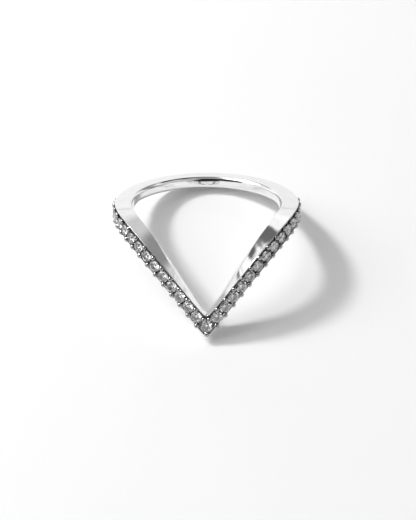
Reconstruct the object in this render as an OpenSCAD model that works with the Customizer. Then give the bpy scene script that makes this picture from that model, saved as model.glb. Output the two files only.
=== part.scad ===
// V-shaped finger ring with a plain shank and a row of round stones held by beads along both arms.
// The finger axis stands along Z while the ring is drawn, and the whole ring is then leaned back
// until it rests on the point of the V and on the lower outer edge of the shank.

/* [Finger hole] */
// Inner diameter, in mm
bore_diameter = 17; // [14:0.1:22]
// How far the rounding of the arms' inner edges reaches outward, in mm
comfort_reach = 0.6; // [0.2:0.05:0.9]
// How deep that rounding goes, square to the edge, in mm
comfort_depth = 0.3; // [0.1:0.05:0.45]

/* [Shank] */
// Width of the band at the back, in mm
shank_width = 1.36; // [1:0.02:2.4]
// Radial thickness at the back, in mm
shank_thickness = 1.86; // [1.2:0.02:2.6]
// Bevel along the outer edges, in mm
edge_bevel = 0.12; // [0.05:0.01:0.2]
// Angle from the point of the V at which the plain round shank begins, in degrees
shank_start = 117; // [108:3:120]

/* [Arms] */
// Radial thickness of the arms, in mm
arm_thickness = 2.04; // [1.6:0.02:2.8]

/* [Stones] */
// Number of stones on each arm, next to the one at the point
stones_per_arm = 14; // [8:1:14]
// Diameter of every stone, in mm
stone_diameter = 1.34; // [1:0.02:1.38]
// Distance between the middles of neighbouring stones, in mm
stone_pitch = 1.46; // [1.44:0.01:1.6]
// Distance from the stone at the point to the first one on each arm, in mm
first_pitch = 1.6; // [1.58:0.01:1.8]
// Distance of the stones' row below the middle line of an arm, in mm
row_shift = 0.04; // [0:0.01:0.05]
// How far each stone is turned about its own axis against the one before, in degrees
stone_turn = 17; // [0:1:44]
// Height of the girdle above the outer face of the arms, in mm
girdle_height = 0.02; // [-0.1:0.01:0.1]
// Clearance between a stone and its seat, in mm
seat_gap = 0.02; // [0.01:0.005:0.05]
// Depth of the straight part of a seat below the outer face, in mm
seat_wall = 0.16; // [0.1:0.01:0.25]
// Depth of the whole seat below the outer face, in mm
seat_depth = 0.62; // [0.58:0.01:0.8]

/* [Beads] */
// Diameter of the beads that hold the stones, in mm
bead_diameter = 0.4; // [0.3:0.02:0.42]
// Distance of the beads from the stones' row, as a share of half the arm's width
bead_share = 0.66; // [0.65:0.01:0.72]
// Distance of the two upper beads beside the point from the row, in mm
inner_bead_offset = 0.5; // [0.48:0.01:0.54]
// Distance of those two beads from the point along an arm, in mm
inner_bead_length = 0.85; // [0.84:0.01:0.88]
// Distance of the single bead below the stone at the point from that stone's middle, in mm
tip_bead_distance = 0.9; // [0.89:0.01:0.95]
// Height of the beads above the outer face, in mm
bead_height = 0.22; // [0.15:0.01:0.3]

/* [Hidden] */
bore_radius = bore_diameter / 2;
shank_radius = bore_radius + shank_thickness;
arm_radius = bore_radius + arm_thickness;
half_width = shank_width / 2;
stone_radius = stone_diameter / 2;
bead_radius = bead_diameter / 2;

// Heights of the two edges of an arm above the middle of the shank, as powers of the angle in radians
upper_curve = [-9.108, 13.6, -0.332, -6.313, 2.27];
lower_curve = [-11.706, 14.469, -2.381, -3.84, 1.38];
// The point of the V is rounded over this angle, in radians
point_rounding = 0.03;
// Between these angles the lower edge runs level with that of the shank, in degrees
lower_blend = [80, shank_start];
// Between these angles the outer face draws in to that of the shank, in degrees
outer_blend = [84, shank_start];
// Between these angles the rounding of the inner edges shrinks to that of the shank, in degrees
comfort_blend = [66, 96];
// Reach and depth of the rounding on the shank's inner edges, in mm
shank_softening = [0.2, 0.14];
// Angles of the points that draw a rounded inner edge, in degrees
rounding_steps = [66, 33, 0];
// Angle between two cross-sections of an arm, in degrees
section_step = 4.5;
// The flats of the arms' inner wall touch the finger hole in their middles
flat_radius = bore_radius / cos(section_step / 2);
// The arms' skin enters the shank this far inside its surface, in mm
skin_inset = 0.012;
// It ends this far behind the shank's end face, in degrees
skin_overlap = 1.5;

function ease(a, from, to) =
    let (t = min(1, max(0, (a - from) / (to - from))))
    t * t * (3 - 2 * t);
function mix(a, b, t) = a + (b - a) * t;
function power_curve(c, u) = c[0] + u * (c[1] + u * (c[2] + u * (c[3] + u * c[4])));
function rounded_angle(a) = sqrt(pow(a * PI / 180, 2) + pow(point_rounding, 2)) - point_rounding;

// Upper edge, lower edge, outer radius and steepness of the band at an angle from the point
function upper_edge(a) = min(power_curve(upper_curve, rounded_angle(min(abs(a), 86))), half_width);
function lower_edge(a) =
    mix(
        power_curve(lower_curve, rounded_angle(min(abs(a), 90))),
        -half_width,
        ease(abs(a), lower_blend[0], lower_blend[1])
    );
function outer_radius(a) = mix(arm_radius, shank_radius, ease(abs(a), outer_blend[0], outer_blend[1]));
function middle_line(a) = (upper_edge(a) + lower_edge(a)) / 2;
function middle_slope(a) =
    let (d = 0.05, b = max(abs(a), 1))
    (middle_line(b + d) - middle_line(b - d)) / (2 * d * PI / 180) / arm_radius;
function lean_of_edge(a) = cos(atan(middle_slope(a)));
function half_face(a) = (upper_edge(a) - lower_edge(a)) / 2 * lean_of_edge(a);

// Length along the middle line of an arm, from the point on, against the angle
line_step = 0.5;
function length_of_step(a) =
    norm([arm_radius * line_step * PI / 180, middle_line(a + line_step) - middle_line(a)]);
line_table = [
    for (a = 0, s = 0; a <= shank_start; s = s + length_of_step(a), a = a + line_step)
        [s, a]
];
function angle_at(s) = lookup(s, line_table);

// Distance of a stone, and of a pair of beads, along the arm from the point
function stone_at(k) = k == 0 ? 0 : first_pitch + (k - 1) * stone_pitch;
function bead_at(k) =
    k < stones_per_arm
    ? (stone_at(k) + stone_at(k + 1)) / 2
    : stone_at(k) + stone_pitch / 2;
function bead_offset(k) = bead_share * half_face(angle_at(bead_at(k)));

// Angles of the cross-sections, from one end of the round shank over the point to the other end
half_angles = concat(
    [0.7, 1.5, 3],
    [for (a = [section_step:section_step:shank_start - 2]) a],
    [shank_start - skin_overlap / 2, shank_start + skin_overlap]
);
section_angles = concat(
    [for (i = [len(half_angles) - 1:-1:0]) -half_angles[i]],
    [0],
    half_angles
);

// One cross-section as [radius, height], from the upper edge of the inner wall round to its lower edge
function section(a, wall, inset = 0) =
    let (
        slant = lean_of_edge(a),
        soft = ease(abs(a), comfort_blend[0], comfort_blend[1]),
        reach = mix(comfort_reach, shank_softening[0], soft),
        depth = mix(comfort_depth, shank_softening[1], soft) / slant,
        bevel = edge_bevel / slant,
        top = upper_edge(a) - inset,
        low = lower_edge(a) + inset,
        out = outer_radius(a) - inset,
        inner = bore_radius + inset,
        arc = [for (t = rounding_steps) [inner + reach * (1 - sin(t)), depth * (1 - cos(t))]],
        last = len(arc) - 1
    )
    concat(
        [[wall, top - depth]],
        [for (p = arc) [p[0], top - p[1]]],
        [
            [out - edge_bevel, top],
            [out, top - bevel],
            [out, low + bevel],
            [out - edge_bevel, low]
        ],
        [for (i = [last:-1:0]) [arc[i][0], low + arc[i][1]]],
        [[wall, low + depth]]
    );
function inset_at(a) = skin_inset * ease(abs(a), shank_start - 2 * section_step, shank_start - 1);
function arm_section(a) = section(a, flat_radius + inset_at(a), inset_at(a));
shank_section = section(shank_start, bore_radius);
function on_ring(a, p) = [p[0] * sin(a), -p[0] * cos(a), p[1]];

// The ring leans back until the point of the V and the shank's lower outer edge touch the ground
back_contact = [shank_radius - edge_bevel, -half_width];
tip_section = arm_section(0);
lean = max([for (p = tip_section) atan2(back_contact[1] - p[1], back_contact[0] + p[0])]);
function leaned(y, z) = [y * cos(lean) + z * sin(lean), z * cos(lean) - y * sin(lean)];
rise = -leaned(back_contact[0], back_contact[1])[1];

// Half of a bead's outline: a round peg with a chamfered top, rooted in the metal
bead_root = 0.2;
bead_outline = [
    [0, -bead_root],
    [bead_radius, -bead_root],
    [bead_radius, bead_height * 0.45],
    [bead_radius * 0.55, bead_height],
    [0, bead_height]
];
tip_bead_line = middle_line(0) - row_shift - tip_bead_distance;

// The ring is centred over the origin, with the bead at the point counted in
front_end = min(concat(
    [for (p = tip_section) leaned(-p[0], p[1])[0]],
    [for (p = bead_outline) leaned(-(arm_radius + p[1]), tip_bead_line - p[0])[0]]
));
back_end = max([for (p = shank_section) leaned(p[0], p[1])[0]]);
middle = (front_end + back_end) / 2;

module at_rest() {
    translate([0, -middle, rise])
        rotate([-lean, 0, 0])
            children();
}

// Puts something on the outer face of an arm, with its Z pointing straight out of the ring:
// side -1 is the left arm, s the length along the arm, aside the distance square to it
module on_arm(side, s, aside = 0, height = 0) {
    a = angle_at(s);
    slope = s == 0 ? 0 : atan(middle_slope(a));
    turn = a - aside * sin(slope) / arm_radius * 180 / PI;
    rotate([0, 0, side * turn])
        translate([0, -(outer_radius(a) + height), middle_line(a) + aside * cos(slope)])
            rotate([90, 0, 0])
                children();
}

// The two arms, joined at the point, as one skin over all the cross-sections
module swept_front() {
    sections = [for (a = section_angles) arm_section(a)];
    count = len(sections);
    size = len(sections[0]);
    points = [
        for (i = [0:count - 1])
            for (p = sections[i])
                on_ring(section_angles[i], p)
    ];
    sides = [
        for (i = [0:count - 2])
            for (j = [0:size - 1])
                let (
                    a = i * size + j,
                    b = i * size + (j + 1) % size,
                    c = a + size,
                    d = b + size
                )
                each [[a, c, b], [b, c, d]]
    ];
    first_cap = [for (j = [0:size - 1]) j];
    last_cap = [for (j = [size - 1:-1:0]) (count - 1) * size + j];
    polyhedron(points = points, faces = concat([first_cap], sides, [last_cap]), convexity = 8);
}

// The plain back of the ring, which carries the cross-section at its ends straight round
module round_shank() {
    rotate([0, 0, shank_start - 90])
        rotate_extrude(angle = 360 - 2 * shank_start, $fn = 180)
            polygon(shank_section);
}

// A drilled seat: straight at the top, with a cone below for the point of the stone
module seat() {
    above = 0.5;
    rotate_extrude($fn = 48)
        polygon([
            [0, -seat_depth],
            [stone_radius + seat_gap, -seat_wall],
            [stone_radius + seat_gap, above],
            [0, above]
        ]);
}

module bead() {
    rotate_extrude($fn = 24)
        polygon(bead_outline);
}

module band() {
    color([0.86, 0.86, 0.87])
        at_rest()
            difference() {
                union() {
                    swept_front();
                    round_shank();
                    on_arm(1, 0, -row_shift - tip_bead_distance)
                        bead();
                    for (side = [-1, 1])
                        for (k = [0:stones_per_arm]) {
                            length = k == 0 ? inner_bead_length : bead_at(k);
                            upper = k == 0 ? inner_bead_offset : bead_offset(k);
                            on_arm(side, length, upper - row_shift)
                                bead();
                            on_arm(side, bead_at(k), -bead_offset(k) - row_shift)
                                bead();
                        }
                }
                on_arm(1, 0, -row_shift)
                    seat();
                for (side = [-1, 1])
                    for (k = [1:stones_per_arm])
                        on_arm(side, stone_at(k), -row_shift)
                            seat();
            }
}

// A round brilliant: table, star, kite and half facets above the girdle, kite and half facets below it.
// Heights count from the middle of the girdle, radii from the stone's axis.
module cut_stone() {
    r = stone_radius;
    table = 0.56 * r;
    crown = 0.308 * r;
    edge = 0.031 * r;
    pavilion = 0.89 * r;
    star = 0.53 * (r + table);
    star_height = edge + (r - star * cos(22.5)) * (crown - edge) / (r - table);
    low = 0.22 * r;
    low_height = -pavilion + low * cos(22.5) * (pavilion - edge) / r;
    points = concat(
        [for (k = [0:7]) [table * cos(45 * k), table * sin(45 * k), crown]],
        [for (k = [0:7]) [star * cos(45 * k + 22.5), star * sin(45 * k + 22.5), star_height]],
        [for (k = [0:15]) [r * cos(22.5 * k), r * sin(22.5 * k), edge]],
        [for (k = [0:15]) [r * cos(22.5 * k), r * sin(22.5 * k), -edge]],
        [for (k = [0:7]) [low * cos(45 * k + 22.5), low * sin(45 * k + 22.5), low_height]],
        [[0, 0, -pavilion]]
    );
    faces = concat(
        [[7, 6, 5, 4, 3, 2, 1, 0]],
        [for (k = [0:7]) [k, (k + 1) % 8, 8 + k]],
        [for (k = [0:7]) [k, 8 + k, 16 + 2 * k]],
        [for (k = [0:7]) [k, 16 + 2 * k, 8 + (k + 7) % 8]],
        [for (k = [0:7]) [8 + k, 17 + 2 * k, 16 + 2 * k]],
        [for (k = [0:7]) [8 + k, 16 + (2 * k + 2) % 16, 17 + 2 * k]],
        [for (k = [0:15]) [16 + k, 16 + (k + 1) % 16, 32 + (k + 1) % 16, 32 + k]],
        [for (k = [0:7]) [56, 48 + (k + 7) % 8, 32 + 2 * k]],
        [for (k = [0:7]) [56, 32 + 2 * k, 48 + k]],
        [for (k = [0:7]) [48 + k, 32 + 2 * k, 33 + 2 * k]],
        [for (k = [0:7]) [48 + k, 33 + 2 * k, 32 + (2 * k + 2) % 16]]
    );
    polyhedron(points = points, faces = faces, convexity = 2);
}

module placed_stone(side, k) {
    color([0.9, 0.94, 0.97, 0.5])
        at_rest()
            on_arm(side, stone_at(k), -row_shift, girdle_height)
                rotate([0, 0, side * stone_turn * k])
                    cut_stone();
}

band();
placed_stone(1, 0);  // stone_tip
for (k = [1:stones_per_arm]) {
    placed_stone(-1, k);
    placed_stone(1, k);
}
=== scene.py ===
import bpy
import numpy as np
from mathutils import Matrix, Vector


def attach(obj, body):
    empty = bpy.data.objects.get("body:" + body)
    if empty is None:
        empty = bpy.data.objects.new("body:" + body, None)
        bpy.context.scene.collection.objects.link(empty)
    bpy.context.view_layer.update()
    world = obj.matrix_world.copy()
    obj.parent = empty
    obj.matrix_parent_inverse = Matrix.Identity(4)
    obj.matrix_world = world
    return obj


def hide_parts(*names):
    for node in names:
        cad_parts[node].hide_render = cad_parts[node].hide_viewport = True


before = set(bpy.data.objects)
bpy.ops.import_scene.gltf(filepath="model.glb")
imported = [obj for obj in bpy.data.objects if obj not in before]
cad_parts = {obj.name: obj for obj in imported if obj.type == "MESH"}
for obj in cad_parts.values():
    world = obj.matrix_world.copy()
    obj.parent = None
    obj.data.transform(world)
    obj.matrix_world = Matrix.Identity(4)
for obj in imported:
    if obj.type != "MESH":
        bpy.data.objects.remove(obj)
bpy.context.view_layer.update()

# The ring is worked out in millimetres with the finger axis along Z and the point of the V towards -Y,
# and then leaned back as it lies on the floor. These sizes repeat those of the solids.
BORE = 8.5
SHANK_RADIUS = BORE + 1.86
ARM_RADIUS = BORE + 2.04
HALF_WIDTH = 0.68
SHANK_START = 117.0
UPPER_CURVE = (-9.108, 13.6, -0.332, -6.313, 2.27)
UPPER_CURVE_END = 86
LOWER_CURVE = (-11.706, 14.469, -2.381, -3.84, 1.38)
LOWER_CURVE_END = 90
LOWER_BLEND_START = 80
OUTER_BLEND_START = 84
POINT_ROUNDING = 0.03
LINE_STEP = 0.5
LEAN = np.radians(29.9785)
RISE = 5.7057
MIDDLE = -2.89572

STONES = 14
STONE_RADIUS = 0.67
PITCH = 1.46
FIRST_PITCH = 1.6
ROW_SHIFT = 0.04
BEAD_SHARE = 0.66
INNER_BEAD = (0.85, 0.5)
TIP_BEAD = 0.9

# These sizes belong to the visible surfaces alone. The beads are rounder and larger than the solids' pegs.
BEAD = 0.31
BEAD_RISE = 0.3
BEAD_ROOT = 0.15
# Height up to which the foot of each bead gets painted shade.
BEAD_PAINTED_SHADE_FOOT = 0.14
LOWER_BEADS_OUT = 0.05

# How far the rounding of the inner edges goes out from the bore and down the wall, with the angles between
# which each changes, then the outer edges, the rims, the channel, the seats and the grid's steps.
EDGE_POWER = 1.35
EDGE_REACH = 0.25
EDGE_REACH_AT_POINT = 1.2
POINT_ANGLES = (2, 44)
EDGE_DEPTH_ON_ARMS = 0.3
EDGE_DEPTH_ON_SHANK = 0.42
SHANK_ANGLES = (80, 120)
OUTER_EDGE = 0.1
UPPER_EDGE_CUT = 0.06
RIM = 0.01
RIM_FALL = 0.05
CHANNEL = 0.11
SEAT_GAP = 0.02
SEAT_WALL = 0.1
SEAT_TAPER = 0.75
SEAT_LIP = (-0.01, 0.04)
SEAT_FIELD_END = (94.6, 95.6)
FINE_ROWS_END = 97
FINE_ROW_STEP = 0.22
SHANK_ROWS = 111
INNER_EDGE_POINTS = 11
OUTER_EDGE_POINTS = 6
WALL_POINTS = 5
SIDE_SHARES = (0.03, 0.35, 0.65, 0.97)
CHANNEL_POINTS = 34

PICTURE_HEIGHT = 520
FLOOR_HALF = 2


def ease(a, start, end):
    """Smooth step from 0 at start to 1 at end."""
    t = np.clip((a - start) / (end - start), 0, 1)
    return t * t * (3 - 2 * t)


def powers(c, u):
    """The polynomial c0 + c1 u + c2 u^2 + ..."""
    return sum(k * u**i for i, k in enumerate(c))


def rounded(a):
    """The angle from the point in radians, rounded off near zero so that the V has a soft point."""
    return np.hypot(np.radians(a), POINT_ROUNDING) - POINT_ROUNDING


def upper_edge(a):
    """Height of the band's upper edge: a quartic in the angle on the arms, level on the shank."""
    return np.minimum(powers(UPPER_CURVE, rounded(np.minimum(np.abs(a), UPPER_CURVE_END))), HALF_WIDTH)


def lower_edge(a):
    """Height of the band's lower edge: a quartic in the angle, eased into the level edge of the shank."""
    t = ease(np.abs(a), LOWER_BLEND_START, SHANK_START)
    on_arms = powers(LOWER_CURVE, rounded(np.minimum(np.abs(a), LOWER_CURVE_END)))
    return on_arms * (1 - t) - HALF_WIDTH * t


def outer_radius(a):
    """Radius of the outer face, a little smaller on the shank than on the arms."""
    return ARM_RADIUS + (SHANK_RADIUS - ARM_RADIUS) * ease(np.abs(a), OUTER_BLEND_START, SHANK_START)


def middle_line(a):
    return (upper_edge(a) + lower_edge(a)) / 2


def steepness(a):
    """Slope of the middle line, as rise over length round the outer face, from a tenth of a degree of it."""
    b = np.maximum(np.abs(a), 1)
    return (middle_line(b + 0.05) - middle_line(b - 0.05)) / np.radians(0.1) / ARM_RADIUS


def half_face(a):
    """Half the width of an arm's outer face, square to its middle line."""
    return (upper_edge(a) - lower_edge(a)) / 2 * np.cos(np.arctan(steepness(a)))


# The middle line's length from the point, as a table over the angle.
line_angles = np.arange(0, SHANK_START, LINE_STEP)
line_steps = np.hypot(ARM_RADIUS * np.radians(LINE_STEP), np.diff(middle_line(line_angles)))
line_lengths = np.concatenate([[0], np.cumsum(line_steps)])


def on_arm(length, aside):
    """Angle and height of the point that lies a length along the middle line and a distance square to it."""
    a = np.interp(length, line_lengths, line_angles)
    slope = np.where(length == 0, 0, np.arctan(steepness(a)))
    return a - np.degrees(aside * np.sin(slope) / ARM_RADIUS), middle_line(a) + aside * np.cos(slope)


def around(a, radius, height):
    """Cylinder coordinates about the finger axis, with the angle counted from the point, to x, y, z."""
    a = np.radians(a)
    return np.stack(np.broadcast_arrays(radius * np.sin(a), -radius * np.cos(a), height), -1)


def leaned(d):
    """Turns directions from the ring's own frame to that of the floor."""
    d = np.asarray(d, float)
    y, z = d[..., 1], d[..., 2]
    return np.stack(
        [d[..., 0], y * np.cos(LEAN) + z * np.sin(LEAN), z * np.cos(LEAN) - y * np.sin(LEAN)], -1
    )


def at_rest(p):
    """Places points of the ring on the floor, in metres."""
    return (leaned(p) + [0, -MIDDLE, RISE]) / 1000


def quads(rows, columns, wrap_rows, wrap_columns):
    """Corner numbers of the cells of a grid, whose rows or columns may close on themselves."""
    i = np.arange(rows if wrap_rows else rows - 1)[:, None]
    j = np.arange(columns if wrap_columns else columns - 1)[None, :]
    i2, j2 = (i + 1) % rows, (j + 1) % columns
    return np.stack(
        np.broadcast_arrays(i * columns + j, i2 * columns + j, i2 * columns + j2, i * columns + j2), -1
    ).reshape(-1, 4)


def mesh_piece(name, points, faces, grain, recess_shade, material, slot, smooth_angle):
    """A piece from one array of points and one of quads, shaded smooth below an angle between its faces.
    Each point also keeps two things for its material: a place in millimetres, and how deep it lies, which
    marks where the metal gets painted shade."""
    mesh = bpy.data.meshes.new(name)
    mesh.from_pydata(points.reshape(-1, 3).tolist(), [], faces.tolist())
    mesh.attributes.new("grain", "FLOAT_VECTOR", "POINT").data.foreach_set("vector", grain.ravel())
    mesh.attributes.new("recess_shade", "FLOAT", "POINT").data.foreach_set("value", recess_shade.ravel())
    piece = bpy.data.objects.new(name, mesh)
    bpy.context.scene.collection.objects.link(piece)
    mesh.shade_smooth()
    mesh.set_sharp_from_angle(angle=np.radians(smooth_angle))
    mesh.materials.append(material)
    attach(piece, "root")
    return piece


def stone_lengths():
    """Distances of the stones from the point, along an arm."""
    return np.concatenate([[0], FIRST_PITCH + PITCH * np.arange(STONES)])


def bead_lengths():
    """Distances of the pairs of beads from the point: midway between stones, and one pair past the last."""
    s = stone_lengths()
    return np.append((s[:-1] + s[1:]) / 2, s[-1] + PITCH / 2)


def stone_places():
    """Angle and height of every stone: the one at the point, then both arms."""
    a, z = on_arm(stone_lengths(), -ROW_SHIFT)
    return np.concatenate([a[:1], a[1:], -a[1:]]), np.concatenate([z[:1], z[1:], z[1:]])


def bead_places():
    """Angle and height of every bead: one below the stone at the point, the upper and then the lower ones."""
    s = bead_lengths()
    aside = BEAD_SHARE * half_face(np.interp(s, line_lengths, line_angles))
    s_up, up = s.copy(), aside.copy()
    s_up[0], up[0] = INNER_BEAD
    a_up, z_up = on_arm(s_up, up - ROW_SHIFT)
    a_low, z_low = on_arm(s, -aside - ROW_SHIFT - LOWER_BEADS_OUT)
    a = np.concatenate([[0], a_up, -a_up, a_low, -a_low])
    return a, np.concatenate([[middle_line(0.0) - ROW_SHIFT - TIP_BEAD], z_up, z_up, z_low, z_low])


def grain_of(a, radius, height):
    """Length round the band from the point, distance from the finger axis and height, in millimetres."""
    return np.stack(np.broadcast_arrays(np.radians(np.abs(a)) * ARM_RADIUS, radius, height), -1)


def band_surface():
    """The band as a grid: rows go round the finger, columns round the cross-section. In each row the inner
    wall is straight. Its two edges are quarter curves between a straight bevel and an ellipse, and they reach
    further out towards the point. The side faces run straight out and the outer edges are quarter ellipses.
    Between two rims the outer face of the arms drops into a channel, with a drilled seat under each stone."""
    fine = np.arange(0, FINE_ROWS_END, FINE_ROW_STEP)
    half = np.concatenate([fine, np.linspace(FINE_ROWS_END, 180, SHANK_ROWS)])
    a = np.concatenate([half, -half[1:-1][::-1]])[:, None]
    top, low, out = upper_edge(a), lower_edge(a), outer_radius(a)
    slant = np.cos(np.arctan(steepness(a)))
    reach = EDGE_REACH + EDGE_REACH_AT_POINT * (1 - ease(np.abs(a), *POINT_ANGLES))
    deeper = EDGE_DEPTH_ON_SHANK - EDGE_DEPTH_ON_ARMS
    depth = (EDGE_DEPTH_ON_ARMS + deeper * ease(np.abs(a), *SHANK_ANGLES)) / slant
    field = 1 - ease(np.abs(a), *SEAT_FIELD_END)
    edge_top = OUTER_EDGE - UPPER_EDGE_CUT * field

    t = np.radians(np.linspace(0, 90, INNER_EDGE_POINTS))[None, :]
    e = np.radians(np.linspace(0, 90, OUTER_EDGE_POINTS))[None, :]
    wall = np.linspace(0, 1, WALL_POINTS)[None, 1:-1]
    side = np.array(SIDE_SHARES)[None, :]
    inner_r = BORE + reach * (1 - np.cos(t) ** EDGE_POWER)
    inner_up = top - depth * (1 - np.sin(t) ** EDGE_POWER)
    inner_low = low + depth * (1 - np.sin(t) ** EDGE_POWER)
    side_up_r = BORE + reach + (out - edge_top - BORE - reach) * side
    side_low_r = BORE + reach + (out - OUTER_EDGE - BORE - reach) * side
    down = np.linspace(0, 1, CHANNEL_POINTS)[None, :]
    high_end = top - (edge_top + RIM + RIM_FALL) / slant
    low_end = low + (OUTER_EDGE + RIM_FALL) / slant
    floor_z = high_end + (low_end - high_end) * down

    sa, sz = stone_places()
    d_round = (a[..., None] - sa) * np.pi / 180 * ARM_RADIUS
    nearest = np.sqrt(d_round**2 + (floor_z[..., None] - sz) ** 2).min(-1)
    seat = SEAT_WALL + np.clip(STONE_RADIUS + SEAT_GAP - nearest, 0, 1) * SEAT_TAPER
    lip_start, lip_end = STONE_RADIUS + SEAT_LIP[0], STONE_RADIUS + SEAT_LIP[1]
    cut = CHANNEL + (seat - SEAT_GAP) * (1 - ease(nearest, lip_start, lip_end))

    channel = (out - cut * field, floor_z)
    columns = [
        (inner_r, inner_up),
        (side_up_r, top),
        (out - edge_top * (1 - np.sin(e)), top - edge_top * (1 - np.cos(e)) / slant),
        (out, top - (edge_top + RIM) / slant),
        channel,
        (out - OUTER_EDGE * (1 - np.cos(e)), low + OUTER_EDGE * (1 - np.sin(e)) / slant),
        (side_low_r[:, ::-1], low),
        (inner_r[:, ::-1], inner_low[:, ::-1]),
        (BORE, (low + depth) + (top - low - 2 * depth) * wall),
    ]
    # The channel's floor and the seats in it are marked over the field of stones: there the metal gets
    # painted shade.
    inside = [float(column is channel) for column in columns]
    columns = [np.broadcast_arrays(r, z) for r, z in columns]
    radius = np.concatenate([r for r, z in columns], 1)
    height = np.concatenate([z for r, z in columns], 1)
    recess_shade = np.concatenate([field * np.ones_like(r) * k for (r, z), k in zip(columns, inside)], 1)
    points = at_rest(around(a, radius, height))
    return points, quads(*radius.shape, True, True)[:, ::-1], grain_of(a, radius, height), recess_shade


def bead_surface():
    """Every bead as a flattish dome on a short round root: a quarter ellipse turned about the line square to
    the outer face, with its top and its foot closed by a point."""
    a, z = bead_places()
    turn = np.radians(np.arange(0, 360, 22.5))
    t = np.radians(np.linspace(0, 90, 9))
    across = np.concatenate([BEAD * np.sin(t), [BEAD, 0.0]])
    up = np.concatenate([BEAD_RISE * np.cos(t), [-BEAD_ROOT, -BEAD_ROOT]])
    axis = around(a, 1, 0 * a)
    level = np.stack([np.cos(np.radians(a)), np.sin(np.radians(a)), 0 * a], -1)
    ring = np.cos(turn)[:, None] * level[:, None] + np.sin(turn)[:, None] * np.array([0, 0, 1.0])
    points = (
        around(a, outer_radius(a), z)[:, None, None]
        + up[None, :, None, None] * axis[:, None, None]
        + across[None, :, None, None] * ring[:, None]
    )
    one = quads(len(up), len(turn), False, True)
    count = len(up) * len(turn)
    faces = (one[None] + count * np.arange(len(a))[:, None, None]).reshape(-1, 4)
    # The foot of each bead is marked for painted shade, fading out upwards.
    recess_shade = np.broadcast_to(1 - ease(up, 0.0, BEAD_PAINTED_SHADE_FOOT)[None, :, None], points.shape[:3])
    return at_rest(points), faces, points, recess_shade


def node_group(name, inputs, outputs):
    """An empty node group with its sockets, and its two end nodes."""
    group = bpy.data.node_groups.new(name, "ShaderNodeTree")
    for label, kind, value in inputs:
        socket = group.interface.new_socket(label, in_out="INPUT", socket_type=kind)
        if value is not None:
            socket.default_value = value
    for label, kind in outputs:
        group.interface.new_socket(label, in_out="OUTPUT", socket_type=kind)
    return group, group.nodes.new("NodeGroupInput"), group.nodes.new("NodeGroupOutput")


class Wiring:
    """Adds nodes to a tree in few words: each call returns the new node's first output."""

    def __init__(self, tree):
        self.tree = tree

    def put(self, value, socket):
        """Links an output to the socket, or sets a plain value on it."""
        if isinstance(value, bpy.types.NodeSocket):
            self.tree.links.new(value, socket)
        else:
            socket.default_value = value

    def math(self, operation, a, b=0.0):
        node = self.tree.nodes.new("ShaderNodeMath")
        node.operation = operation
        self.put(a, node.inputs[0])
        self.put(b, node.inputs[1])
        return node.outputs[0]

    def dot(self, a, b):
        node = self.tree.nodes.new("ShaderNodeVectorMath")
        node.operation = "DOT_PRODUCT"
        self.put(a, node.inputs[0])
        self.put(b, node.inputs[1])
        return node.outputs["Value"]

    def stretch(self, vector, factors):
        node = self.tree.nodes.new("ShaderNodeVectorMath")
        node.operation = "MULTIPLY"
        self.put(vector, node.inputs[0])
        self.put(factors, node.inputs[1])
        return node.outputs[0]

    def between(self, value, low, high, out_low, out_high):
        """Eases from one output to the other while the value goes from low to high."""
        node = self.tree.nodes.new("ShaderNodeMapRange")
        node.interpolation_type = "SMOOTHSTEP"
        names = ("Value", "From Min", "From Max", "To Min", "To Max")
        for name, v in zip(names, (value, low, high, out_low, out_high)):
            self.put(v, node.inputs[name])
        return node.outputs[0]

    def noise(self, vector, scale, detail=2.0, roughness=0.5):
        node = self.tree.nodes.new("ShaderNodeTexNoise")
        self.put(vector, node.inputs["Vector"])
        for name, v in (("Scale", scale), ("Detail", detail), ("Roughness", roughness)):
            self.put(v, node.inputs[name])
        return node.outputs["Fac"]

    def mix_colour(self, factor, a, b):
        node = self.tree.nodes.new("ShaderNodeMix")
        node.data_type = "RGBA"
        self.put(factor, node.inputs["Factor"])
        self.put(a, node.inputs["A"])
        self.put(b, node.inputs["B"])
        return node.outputs["Result"]

    def mix_value(self, factor, a, b):
        node = self.tree.nodes.new("ShaderNodeMix")
        self.put(factor, node.inputs["Factor"])
        self.put(a, node.inputs["A"])
        self.put(b, node.inputs["B"])
        return node.outputs["Result"]

    def bump(self, height, strength, distance):
        node = self.tree.nodes.new("ShaderNodeBump")
        for name, v in (("Height", height), ("Strength", strength), ("Distance", distance)):
            self.put(v, node.inputs[name])
        return node.outputs["Normal"]


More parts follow.
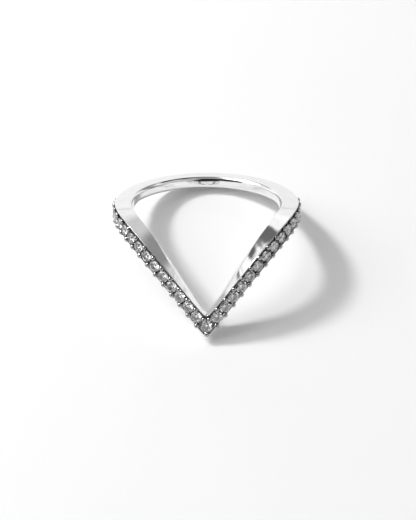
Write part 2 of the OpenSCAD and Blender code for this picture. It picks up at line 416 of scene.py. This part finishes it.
def polish_group():
    """Polished metal: a broad cloud shifts the tint, long hairlines from the buffing wheel shift the gloss,
    and with short ones from wear and a broad gentle waviness they break up the reflections. Recesses are
    duller, and their colour is painted darker as shade."""
    group, start, end = node_group(
        "polish",
        [
            ("Grain", "NodeSocketVector", None),
            ("Recess_shade", "NodeSocketFloat", 0.0),
            ("Gloss", "NodeSocketFloat", 0.05),
            ("Hairlines", "NodeSocketFloat", 1.0),
            ("Bright", "NodeSocketColor", (0.88, 0.88, 0.885, 1)),
            ("Dark", "NodeSocketColor", (0.3, 0.3, 0.31, 1)),
        ],
        [("Color", "NodeSocketColor"), ("Roughness", "NodeSocketFloat"), ("Normal", "NodeSocketVector")],
    )
    w = Wiring(group)
    grain, recess_shade, gloss, lines, bright, dark = start.outputs[:6]
    cloud = w.noise(grain, scale=0.9, detail=3.0)
    long_lines = w.noise(w.stretch(grain, (0.5, 7.0, 7.0)), scale=1.6, detail=3.0, roughness=0.6)
    short_lines = w.noise(w.stretch(grain, (5.0, 1.6, 1.6)), scale=1.3, roughness=0.6)
    wave = w.noise(w.stretch(grain, (0.7, 1.0, 1.0)), scale=1.1, detail=1.0)
    height = w.math("ADD", long_lines, w.math("MULTIPLY", short_lines, 0.5))
    height = w.math("ADD", height, w.math("MULTIPLY", wave, 9.0))
    shade = w.between(cloud, 0.3, 0.7, 0.0, 0.06)
    tint = w.mix_colour(shade, bright, dark)
    # Painted shade: where the recess mask is set, the colour is mixed towards the dark tint.
    group.links.new(w.mix_colour(recess_shade, tint, dark), end.inputs["Color"])
    scratched = w.between(long_lines, 0.35, 0.7, 0.0, 0.05)
    rough = w.math("ADD", gloss, w.math("MULTIPLY", scratched, lines))
    rough = w.math("ADD", rough, w.math("MULTIPLY", recess_shade, 0.25))
    group.links.new(rough, end.inputs["Roughness"])
    group.links.new(w.bump(height, w.math("MULTIPLY", lines, 0.2), 0.000004), end.inputs["Normal"])
    return group


def new_material(name):
    material = bpy.data.materials.new(name)
    material.use_nodes = True
    tree = material.node_tree
    return material, tree, tree.nodes["Principled BSDF"]


def white_metal(name, polish, gloss, hairlines, bright, dark):
    """White metal: the polish group reads the piece's own grain attribute and the attribute that marks its
    painted shade in recesses.
    """
    material, tree, shader = new_material(name)
    shader.inputs["Metallic"].default_value = 1.0
    finish = tree.nodes.new("ShaderNodeGroup")
    finish.node_tree = polish
    for label, output in (("grain", "Vector"), ("recess_shade", "Fac")):
        node = tree.nodes.new("ShaderNodeAttribute")
        node.attribute_name = label
        tree.links.new(node.outputs[output], finish.inputs[label.capitalize()])
    finish.inputs["Gloss"].default_value = gloss
    finish.inputs["Hairlines"].default_value = hairlines
    finish.inputs["Bright"].default_value = (*bright, 1)
    finish.inputs["Dark"].default_value = (*dark, 1)
    for output, label in (("Color", "Base Color"), ("Roughness", "Roughness"), ("Normal", "Normal")):
        tree.links.new(finish.outputs[output], shader.inputs[label])
    return material


def cut_stone():
    """A colourless cut stone: clear and strongly refracting, with the faintest clouding and polish marks."""
    material, tree, shader = new_material("cut_stone")
    shader.inputs["Transmission Weight"].default_value = 1.0
    shader.inputs["IOR"].default_value = 2.42
    w = Wiring(tree)
    coords = tree.nodes.new("ShaderNodeTexCoord").outputs["Object"]
    cloud = w.noise(coords, scale=900.0, detail=3.0)
    tint = w.mix_colour(w.between(cloud, 0.4, 0.75, 0.0, 1.0), (1, 1, 1, 1), (0.96, 0.965, 0.97, 1))
    tree.links.new(tint, shader.inputs["Base Color"])
    marks = w.noise(w.stretch(coords, (1.0, 1.0, 6.0)), scale=4000.0)
    tree.links.new(w.between(marks, 0.6, 0.8, 0.0, 0.004), shader.inputs["Roughness"])
    return material


def pale_floor():
    """A matt white board with a very faint mottle and tooth."""
    material, tree, shader = new_material("pale_floor")
    w = Wiring(tree)
    coords = tree.nodes.new("ShaderNodeTexCoord").outputs["Object"]
    mottle = w.noise(coords, scale=60.0, detail=4.0)
    paint = w.mix_colour(mottle, (0.872, 0.872, 0.872, 1), (0.888, 0.888, 0.888, 1))
    tree.links.new(paint, shader.inputs["Base Color"])
    tooth = w.noise(coords, scale=3000.0, detail=3.0)
    tree.links.new(w.between(tooth, 0.3, 0.7, 0.5, 0.65), shader.inputs["Roughness"])
    tree.links.new(w.bump(tooth, 0.15, 0.00003), shader.inputs["Normal"])
    shader.inputs["Specular IOR Level"].default_value = 0.2
    return material


polish = polish_group()
shell_metal = white_metal(
    "white_metal", polish, gloss=0.05, hairlines=1.0, bright=(0.88, 0.88, 0.885), dark=(0.24, 0.24, 0.25)
)
# The beads get the same white metal painted much darker: painted dark reflection and shade on the beads, not
# a different metal.
bead_metal_painted_dark = white_metal(
    "bead_metal_painted_dark", polish, gloss=0.03, hairlines=0.0, bright=(0.42, 0.42, 0.425), dark=(0.05, 0.05, 0.052)
)
glass = cut_stone()

band = mesh_piece("band_skin", *band_surface(), shell_metal, "white_metal", smooth_angle=35)
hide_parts("band")
mesh_piece("beads", *bead_surface(), bead_metal_painted_dark, "white_metal", smooth_angle=50)

for name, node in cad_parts.items():
    if name.startswith("stone"):
        node.data.materials.clear()
        node.data.materials.append(glass)

floor_mesh = bpy.data.meshes.new("floor")
floor_corners = [(x * FLOOR_HALF, y * FLOOR_HALF, 0) for x, y in ((-1, -1), (1, -1), (1, 1), (-1, 1))]
floor_mesh.from_pydata(floor_corners, [], [(0, 1, 2, 3)])
floor = bpy.data.objects.new("floor", floor_mesh)
bpy.context.scene.collection.objects.link(floor)
floor_mesh.materials.append(pale_floor())


def towards(azimuth, elevation):
    """Unit vector: azimuth 0 is the back of the picture and grows to the right, elevation counts from the
    floor up."""
    a, e = np.radians(azimuth), np.radians(elevation)
    return np.array([np.sin(a) * np.cos(e), np.cos(a) * np.cos(e), np.sin(e)])


def panel_group():
    """One soft-edged rectangular panel hung in the room: it covers what is under it where the direction falls
    within its width and height, both measured as tangents from its middle, and only in front of its plane."""
    least_facing = 0.02
    group, start, end = node_group(
        "panel",
        [
            ("Direction", "NodeSocketVector", None),
            ("Under", "NodeSocketFloat", 0.0),
            ("Level", "NodeSocketFloat", 1.0),
            ("Facing", "NodeSocketVector", None),
            ("Across", "NodeSocketVector", None),
            ("Upwards", "NodeSocketVector", None),
            ("Half Width", "NodeSocketFloat", 0.5),
            ("Half Height", "NodeSocketFloat", 0.5),
            ("Softness", "NodeSocketFloat", 0.1),
        ],
        [("Level", "NodeSocketFloat")],
    )
    w = Wiring(group)
    direction, under, level, facing, across, upwards, half_width, half_height, softness = start.outputs[:9]
    depth = w.math("MAXIMUM", w.dot(direction, facing), least_facing)
    mask = w.math("GREATER_THAN", w.dot(direction, facing), least_facing)
    for axis, half in ((across, half_width), (upwards, half_height)):
        offset = w.math("ABSOLUTE", w.math("DIVIDE", w.dot(direction, axis), depth))
        edge_start = w.math("SUBTRACT", half, softness)
        edge_end = w.math("ADD", half, softness)
        mask = w.math("MULTIPLY", mask, w.between(offset, edge_start, edge_end, 1.0, 0.0))
    group.links.new(w.mix_value(mask, under, level), end.inputs["Level"])
    return group


def studio(horizon, ceiling, panels):
    """The light room round the ring: bright walls that turn into a dark ceiling as the direction's height
    grows, and over them soft panels, bright ones and dark ones."""
    ceiling_start, ceiling_full = 0.62, 0.85
    world = bpy.data.worlds.new("studio")
    bpy.context.scene.world = world
    world.use_nodes = True
    tree = world.node_tree
    direction = tree.nodes.new("ShaderNodeTexCoord").outputs["Generated"]
    panel = panel_group()
    height = tree.nodes.new("ShaderNodeSeparateXYZ")
    tree.links.new(direction, height.inputs[0])
    w = Wiring(tree)
    level = w.between(height.outputs["Z"], ceiling_start, ceiling_full, horizon, ceiling)
    for azimuth, elevation, wide, high, softness, brightness in panels:
        node = tree.nodes.new("ShaderNodeGroup")
        node.node_tree = panel
        facing = towards(azimuth, elevation)
        across = towards(azimuth + 90, 0)
        settings = {
            "Direction": direction,
            "Under": level,
            "Level": brightness,
            "Facing": tuple(facing),
            "Across": tuple(across),
            "Upwards": tuple(np.cross(across, facing)),
            "Half Width": np.tan(np.radians(wide / 2)),
            "Half Height": np.tan(np.radians(high / 2)),
            "Softness": softness,
        }
        for label, value in settings.items():
            w.put(value, node.inputs[label])
        level = node.outputs["Level"]
    tree.links.new(level, tree.nodes["Background"].inputs["Strength"])
    tree.nodes["Background"].inputs["Color"].default_value = (1, 1, 1, 1)


# Azimuth, elevation, width and height in degrees, softness of the edge as a tangent, brightness.
# A later panel covers the earlier ones.
PANELS = [
    (-168, 53, 96, 80, 0.06, 0.02),
    (22, 15, 34, 46, 0.1, 0.68),
    (50, 17, 34, 30, 0.12, 0.3),
    (44, 58, 60, 44, 0.08, 0.05),
    (-42, 45, 44, 46, 0.03, 0.15),
    (-27, 9, 46, 27, 0.03, 1.15),
    (-12, 26, 18, 12, 0.04, 1.08),
    (-50.5, 15.5, 11, 13, 0.02, 0.12),
    (-46, 22, 11, 5, 0.02, 0.25),
    (85, 5, 50, 26, 0.1, 0.3),
    (118, 42, 54, 40, 0.1, 0.6),
    (-80, 50, 42, 50, 0.12, 3.1),
    (180, 82, 46, 32, 0.15, 0.4),
]
studio(horizon=1.0, ceiling=0.08, panels=PANELS)


def key_lamp(facing, distance, size, floor_brightness, floor_albedo):
    """A round lamp that faces the ring, with the power that gives the floor a wanted brightness."""
    data = bpy.data.lights.new("key", "AREA")
    data.shape = "DISK"
    data.size = size
    data.energy = np.pi**2 * floor_brightness / floor_albedo * distance**2 / facing[2]
    lamp = bpy.data.objects.new("key", data)
    bpy.context.scene.collection.objects.link(lamp)
    d = Vector(facing)
    lamp.location = d * distance
    lamp.rotation_euler = d.to_track_quat("Z", "Y").to_euler()


key_lamp(towards(-63.0, 46.5), distance=0.4, size=0.068, floor_brightness=0.38, floor_albedo=0.88)


def photo_camera():
    """The camera of the photograph, with its sizes in millimetres in the ring's own frame: it looks down on
    the ring's plane by the tilt, and the picture's centre is a little off the ring's middle."""
    tilt, roll, yaw = np.radians(21.474), np.radians(0.297), np.radians(-0.455)
    distance, pixels_per_mm = 160.0, 8.717
    shift_x, shift_y = -0.118, 6.202
    turn = np.array([[np.cos(yaw), np.sin(yaw), 0], [-np.sin(yaw), np.cos(yaw), 0], [0, 0, 1]])
    x_axis = turn @ [1, 0, 0]
    up_axis = turn @ [0, np.sin(tilt), np.cos(tilt)]
    forward = turn @ [0, np.cos(tilt), -np.sin(tilt)]
    place = -shift_x * x_axis - shift_y * up_axis - distance * forward
    right = np.cos(roll) * x_axis - np.sin(roll) * up_axis
    up = np.sin(roll) * x_axis + np.cos(roll) * up_axis
    data = bpy.data.cameras.new("camera")
    data.sensor_width = 36
    data.lens = pixels_per_mm * distance * data.sensor_width / PICTURE_HEIGHT
    data.clip_start, data.clip_end = 0.001, 20
    camera = bpy.data.objects.new("camera", data)
    bpy.context.scene.collection.objects.link(camera)
    axes = np.stack([leaned(right), leaned(up), -leaned(forward)], 1)
    matrix = np.eye(4)
    matrix[:3, :3] = axes
    matrix[:3, 3] = at_rest(place)
    camera.matrix_world = Matrix(matrix.tolist())
    bpy.context.scene.camera = camera


photo_camera()
bpy.context.scene.view_settings.view_transform = "Standard"
